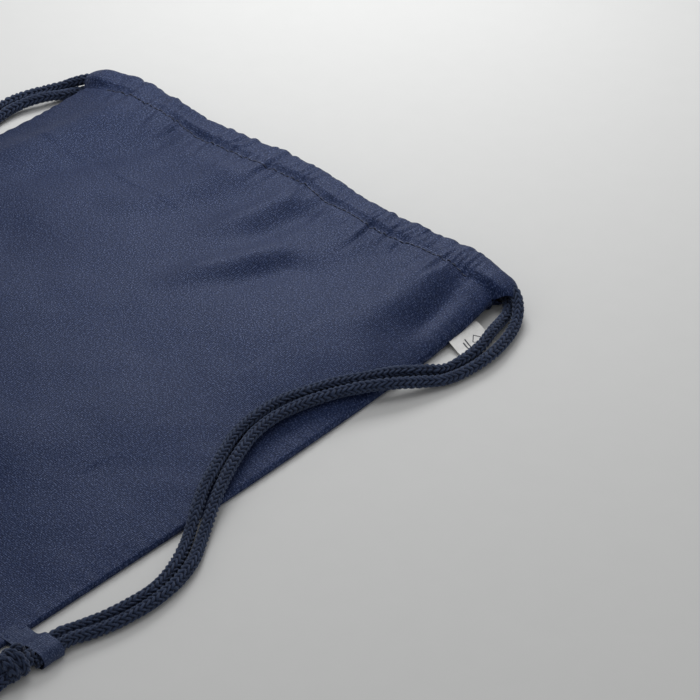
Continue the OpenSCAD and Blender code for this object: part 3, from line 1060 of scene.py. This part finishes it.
def hem_stitches(name, side, front, node):
    """A row of lockstitches that sink into the cloth at both ends."""
    paths = []
    x = 0.001
    while x < MOUTH_X - 0.010:
        xs = np.linspace(x, x + STITCH_L, STITCH_POINTS)
        y = stitch_y(side * xs)
        sink = STITCH_SINK * np.square(np.square(np.linspace(-1.0, 1.0, STITCH_POINTS)))
        surface = front_z(side * xs, y) + STITCH_R if front else BACK_STITCH_Z
        paths.append(stacked(side * xs, y, surface - sink))
        x += STITCH_L + STITCH_GAP
    piece = threads(name, paths, STITCH_R, 8, THREAD)
    gathers_with(piece)
    stands_for(node)


# The turned-in edges inside a seam: their places across it, from the seam to the free edge, and their height
ALLOWANCE = np.linspace(0.0028, 0.0075, 7)[None, :]
ALLOWANCE_FREE = (ALLOWANCE - 0.0028) / 0.0047
ALLOWANCE_T = 0.0015
ALLOWANCE_Z = 0.0027

# The overlock thread over the free edge: its middle, its pitch, and how far it swings sideways and up
OVERLOCK_IN = 0.0070
OVERLOCK_Z = 0.00195
OVERLOCK_PITCH = 0.0026
OVERLOCK_SWING = (0.0013, 0.0011)
OVERLOCK_R = 0.0002
OVERLOCK_END = 0.010
SIDE_OVERLOCK_L = 0.378


def free_edge_wave(along):
    """How a seam allowance waves along the seam, most at its free edge."""
    return 0.0003 * np.sin(along / 0.004) * ALLOWANCE_FREE


def allowance(name, points, node):
    """A seam's turned-in edges, as one soft double ply."""
    points, normals = facing_up(points)
    no_wear = np.zeros(points.shape[:2])
    piece = shell(name, points, normals, ALLOWANCE_T, CLOTH, points[..., :2], {"wear": no_wear})
    stands_for(node)
    return piece


def overlock(name, place, length, node):
    """A zigzag of thread over a free edge. place gives a point from its distance along and its swing."""
    t = np.arange(0.0, length, OVERLOCK_PITCH / 8)
    turn = 2 * np.pi * t / OVERLOCK_PITCH
    over, up = OVERLOCK_SWING
    piece = threads(name, [place(t, over * np.cos(turn), up * np.sin(turn))], OVERLOCK_R, 6, THREAD)
    stands_for(node)
    return piece


def side_seam(side, word):
    """A side seam's turned-in edges and the thread over them."""
    ys = np.linspace(-BAG_H / 2 + 0.008, HEM_LOW_Y - 0.002, 260)[:, None]
    z = side_z(panel_share(ys)) - EDGE_Z + ALLOWANCE_Z + free_edge_wave(ys)
    points = stacked(side * (half_w(ys) - ALLOWANCE), ys, z)
    gathers_with(allowance(f"{word}_side_seam_allowance", points, f"{word}_side_seam"))

    def place(t, over, up):
        y = -BAG_H / 2 + OVERLOCK_END + t
        edge_z = side_z(panel_share(y)) - EDGE_Z + OVERLOCK_Z
        return stacked(side * (half_w(y) - OVERLOCK_IN + over), y, edge_z + up)

    thread = overlock(f"{word}_seam_overlock", place, SIDE_OVERLOCK_L, f"{word}_seam_stitching")
    gathers_with(thread)


def bottom_seam():
    """The bottom seam's turned-in edges and the thread over them."""
    xs = np.linspace(-BAG_W / 2 + 0.008, BAG_W / 2 - 0.008, 240)[:, None]
    points = stacked(xs, -BAG_H / 2 + ALLOWANCE, ALLOWANCE_Z + free_edge_wave(xs))
    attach(allowance("bottom_seam_allowance", points, "bottom_seam"), "bag")

    def place(t, over, up):
        return stacked(-BAG_W / 2 + OVERLOCK_END + t, -BAG_H / 2 + OVERLOCK_IN + over, OVERLOCK_Z + up)

    length = BAG_W - 2 * OVERLOCK_END
    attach(overlock("bottom_seam_overlock", place, length, "bottom_seam_stitching"), "bag")


LABEL_LOW_Y = 0.146
LABEL_L = 0.025
LABEL_IN = 0.004
LABEL_OUT = 0.020
LABEL_T = 0.0005
LABEL_LEAN = 0.24
LABEL_CURL = 0.0005

# The label from the side, in millimetres: distance out of the seam, and height
LABEL_DROP = [(-4, 4.2), (1, 4.0), (5, 2.7), (9, 1.6), (14, 1.3), (20, 1.2)]


def label():
    """The folded label: out of the side seam and down to the surface, leaning towards the bag's bottom."""
    seam_x = float(half_w(LABEL_LOW_Y + LABEL_L / 2))
    out = np.linspace(-LABEL_IN, LABEL_OUT, 40)[None, :]
    up = np.linspace(0.0, LABEL_L, 42)[:, None]
    drop_out, drop_z = np.transpose(LABEL_DROP) * MM
    z = np.interp(out, drop_out, drop_z)
    curl = LABEL_CURL * np.square((up - LABEL_L / 2) / (LABEL_L / 2)) * ease(out / 0.006)
    lean = -LABEL_LEAN * np.maximum(0.0, out)
    points = stacked(seam_x + out, LABEL_LOW_Y + up + lean, z + curl)
    piece = shell("seam_label", points, grid_normals(points), LABEL_T, LABEL, stacked(out, up))
    gathers_with(piece)
    stands_for("label")


# The corner loop's tape: its thickness, its gap round the strands, and the spacing of its rows
TAPE_T = 0.0008
TAPE_GAP = 0.00085
TAPE_STEP = 0.0005
TAPE_LOWEST = 0.0006


def tape_line():
    """The tape from the side: out of the seam, round the two strands, and back into the seam."""

    def around(middle_x, hand, degrees):
        ring_r = CORD_R + TAPE_GAP
        angles = np.radians(degrees)
        return [(middle_x + hand * ring_r * math.sin(a), LOOP_Z + ring_r * math.cos(a)) for a in angles]

    right = around(LOOP_X + PAIR_HALF, 1, range(0, 181, 15))
    left_top = around(LOOP_X - PAIR_HALF, -1, (52, 35, 18, 0))
    left_low = [(x, 2 * LOOP_Z - z) for x, z in left_top[::-1]]
    tab_x = float(half_w(LOOP_Y))
    tab_top = [(tab_x - 0.006, 0.0032), (tab_x + 0.001, 0.0032), (tab_x + 0.007, 0.0034)]
    tab_low = [(tab_x + 0.007, 0.0021), (tab_x + 0.001, 0.0021), (tab_x - 0.006, 0.0021)]
    return smooth_path([(x, 0.0, z) for x, z in tab_top + left_top + right + left_low + tab_low], TAPE_STEP)


def corner_loop(side, word):
    """A folded tape: both ends in the side seam, and a loop around the two strands."""
    line = tape_line()
    across = np.linspace(-0.5, 0.5, 15)[None, :]
    waist = 1.0 - 0.06 * np.sin(np.pi * np.linspace(0.0, 1.0, len(line)))[:, None]
    y = LOOP_Y + across * LOOP_W * waist
    z = np.maximum(line[:, 2][:, None] + 0.00015 * np.cos(across * 2 * np.pi), TAPE_LOWEST)
    points = stacked(side * line[:, 0][:, None], y, z)
    normals = grid_normals(points) * side
    if side < 0:
        points, normals = points[:, ::-1], normals[:, ::-1]
    along = np.arange(len(line))[:, None] * TAPE_STEP
    wear = np.broadcast_to(0.5 * np.square(2 * across), points.shape[:2])
    piece = shell(f"{word}_corner_tape", points, normals, TAPE_T, TAPE, stacked(along, y), {"wear": wear})
    stands_for(f"{word}_corner_loop")
    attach(piece, "bag")


BACK_STEP = 0.0030
FRONT_STEP = 0.0016


def bag():
    """Everything but the cords."""
    for side, word in ((1, "right"), (-1, "left")):
        panel_half(f"back_panel_{word}", side, BACK_STEP, back_z, True, "back_panel")
        panel_half(f"front_panel_{word}", side, FRONT_STEP, front_z, False, "front_panel")
        hem_half(f"back_hem_{word}", side, False, "back_hem")
        hem_half(f"front_hem_{word}", side, True, "front_hem")
        hem_stitches(f"front_hem_stitches_{word}", side, True, "front_hem_stitching")
        hem_stitches(f"back_hem_stitches_{word}", side, False, "back_hem_stitching")
        side_seam(side, word)
        corner_loop(side, word)
    bottom_seam()
    label()


bag()


# ---- surface, light


def make_floor():
    """The pale surface, wide enough to fill every view."""
    half = 3
    corners = [(-half, -half, 0), (half, -half, 0), (half, half, 0), (-half, half, 0)]
    mesh = bpy.data.meshes.new("surface")
    mesh.from_pydata(corners, [], [(0, 1, 2, 3)])
    mesh.materials.append(pale_surface())
    floor = bpy.data.objects.new("surface", mesh)
    bpy.context.scene.collection.objects.link(floor)


def area_light(name, place, target, size, power, beam=180.0):
    """A square white softbox. beam is the angle that its grid lets the light out in, in degrees."""
    lamp = bpy.data.lights.new(name, "AREA")
    lamp.shape = "SQUARE"
    lamp.size = size
    lamp.energy = power
    lamp.spread = math.radians(beam)
    thing = bpy.data.objects.new(name, lamp)
    thing.location = place
    thing.rotation_mode = "QUATERNION"
    thing.rotation_quaternion = (Vector(target) - Vector(place)).to_track_quat("-Z", "Y")
    bpy.context.scene.collection.objects.link(thing)


def make_world():
    """Even white light from all round."""
    world = bpy.data.worlds.new("studio")
    world.use_nodes = True
    ground = world.node_tree.nodes["Background"]
    ground.inputs["Color"].default_value = (1.0, 1.0, 1.0, 1.0)
    ground.inputs["Strength"].default_value = 0.36
    bpy.context.scene.world = world


make_floor()
make_world()
area_light("key", place=(-0.280, 0.540, 0.500), target=(0.06, 0.14, 0.0), size=0.32, power=2.9)
area_light("top", place=(0.06, 0.10, 0.95), target=(0.12, 0.08, 0.0), size=0.55, power=0.8, beam=140.0)
bpy.context.scene.view_settings.view_transform = "Standard"
